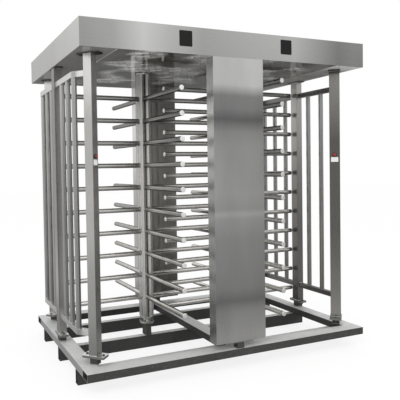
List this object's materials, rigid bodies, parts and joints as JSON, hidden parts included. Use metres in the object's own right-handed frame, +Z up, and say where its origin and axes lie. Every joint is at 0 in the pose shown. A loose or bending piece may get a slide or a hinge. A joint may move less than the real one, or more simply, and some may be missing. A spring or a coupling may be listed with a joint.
{
  "type": "full height turnstile",
  "caption": "Double full-height turnstile of brushed stainless steel: barred rotors that interleave in a posted frame, under a flat box canopy, on a sunk base frame.",
  "frame": {"origin": "on the underside of the base, below the middle of the canopy", "axes": "+X along the canopy from left to right, -Y the front with the indicator windows, +Z up"},
  "size_m": [2.35, 1.53, 2.44],
  "materials": {
    "brushed_stainless": "brushed, satin",
    "arm_stainless": "fine ground tube",
    "polished_ceiling": "bright polished sheet",
    "base_steel": "dark, weathered",
    "machined_steel": "turned",
    "zinc_bolts": "bright",
    "bearing_bronze": "turned",
    "mechanism_black": "semi-matt",
    "window_black": "gloss",
    "button_black": "matt",
    "button_red": "gloss",
    "label_white": "matt"
  },
  "bodies": {
    "frame": {"base_front_beam": "base_steel", "base_rear_beam": "base_steel", "base_left_beam": "base_steel", "base_right_beam": "base_steel", "base_centre_beam": "base_steel", "base_cross_beams": "base_steel", "foot_stubs": "base_steel", "corner_posts": "brushed_stainless", "side_posts": "brushed_stainless", "cabinet_posts": "brushed_stainless", "foot_plates": "brushed_stainless", "top_flanges": "brushed_stainless", "flange_bolts": "zinc_bolts", "left_guard_rails": "brushed_stainless", "left_guard_bars": "brushed_stainless", "right_guard_rails": "brushed_stainless", "right_guard_bars": "brushed_stainless", "front_cabinet_shell": "brushed_stainless", "rear_cabinet_shell": "brushed_stainless", "cabinet_covers": "brushed_stainless", "canopy_front_fascia": "brushed_stainless", "canopy_rear_fascia": "brushed_stainless", "canopy_end_fascias": "brushed_stainless", "canopy_roof": "brushed_stainless", "canopy_ceiling": "polished_ceiling", "canopy_subframe": "mechanism_black", "indicator_windows": "window_black", "control_box": "mechanism_black", "mechanism_plates": "machined_steel", "upper_bearing_housings": "machined_steel", "lower_bearing_housings": "machined_steel", "bearings": "bearing_bronze", "damper_bodies": "mechanism_black", "solenoids": "mechanism_black", "pawl_pivots": "machined_steel", "pawl_springs": "machined_steel", "button_housings": "button_black", "blank_labels": "label_white"},
    "left_rotor": {"left_column_tubes": "arm_stainless", "left_column_plates": "machined_steel", "left_arms": "arm_stainless", "left_arm_caps": "arm_stainless", "left_shafts": "machined_steel", "left_index_disc": "machined_steel", "left_gear": "machined_steel"},
    "right_rotor": {"right_column_tubes": "arm_stainless", "right_column_plates": "machined_steel", "right_arms": "arm_stainless", "right_arm_caps": "arm_stainless", "right_shafts": "machined_steel", "right_index_disc": "machined_steel", "right_gear": "machined_steel"},
    "left_damper": {"left_pinion": "machined_steel"},
    "right_damper": {"right_pinion": "machined_steel"},
    "left_pawl": {"left_pawl": "machined_steel"},
    "right_pawl": {"right_pawl": "machined_steel"},
    "left_plunger": {"left_plunger": "machined_steel"},
    "right_plunger": {"right_plunger": "machined_steel"},
    "left_button": {"left_button": "button_red"},
    "right_button": {"right_button": "button_red"}
  },
  "joints": [
    {"name": "left_rotor_turn", "type": "hinge", "parent": "frame", "child": "left_rotor", "pos_m": [-0.42, 0, 0], "axis": [0, 0, 1], "continuous": true},
    {"name": "right_rotor_turn", "type": "hinge", "parent": "frame", "child": "right_rotor", "pos_m": [0.42, 0, 0], "axis": [0, 0, 1], "continuous": true},
    {"name": "left_damper_turn", "type": "hinge", "parent": "frame", "child": "left_damper", "pos_m": [-0.42, 0.144, 0], "axis": [0, 0, 1], "continuous": true},
    {"name": "right_damper_turn", "type": "hinge", "parent": "frame", "child": "right_damper", "pos_m": [0.42, 0.144, 0], "axis": [0, 0, 1], "continuous": true},
    {"name": "left_pawl_swing", "type": "hinge", "parent": "frame", "child": "left_pawl", "pos_m": [-0.545, 0.075, 0], "axis": [0, 0, 1], "range_deg": [0, 12], "stiffness_Nm_per_rad": 0.6},
    {"name": "right_pawl_swing", "type": "hinge", "parent": "frame", "child": "right_pawl", "pos_m": [0.295, 0.075, 0], "axis": [0, 0, 1], "range_deg": [0, 12], "stiffness_Nm_per_rad": 0.6},
    {"name": "left_plunger_slide", "type": "slide", "parent": "frame", "child": "left_plunger", "axis": [-1, 0, 0], "range_m": [0, 0.0095]},
    {"name": "right_plunger_slide", "type": "slide", "parent": "frame", "child": "right_plunger", "axis": [-1, 0, 0], "range_m": [0, 0.0095]},
    {"name": "left_button_push", "type": "slide", "parent": "frame", "child": "left_button", "axis": [-0.7071, 0.7071, 0], "range_m": [0, 0.004], "stiffness_N_per_m": 400},
    {"name": "right_button_push", "type": "slide", "parent": "frame", "child": "right_button", "axis": [0.7071, 0.7071, 0], "range_m": [0, 0.004], "stiffness_N_per_m": 400}
  ],
  "couplings": [
    {"joint": "left_damper_turn", "follows": "left_rotor_turn", "ratio": -3},
    {"joint": "left_plunger_slide", "follows": "left_pawl_swing", "m_per_rad": 0.042},
    {"joint": "right_damper_turn", "follows": "right_rotor_turn", "ratio": -3},
    {"joint": "right_plunger_slide", "follows": "right_pawl_swing", "m_per_rad": 0.042}
  ]
}
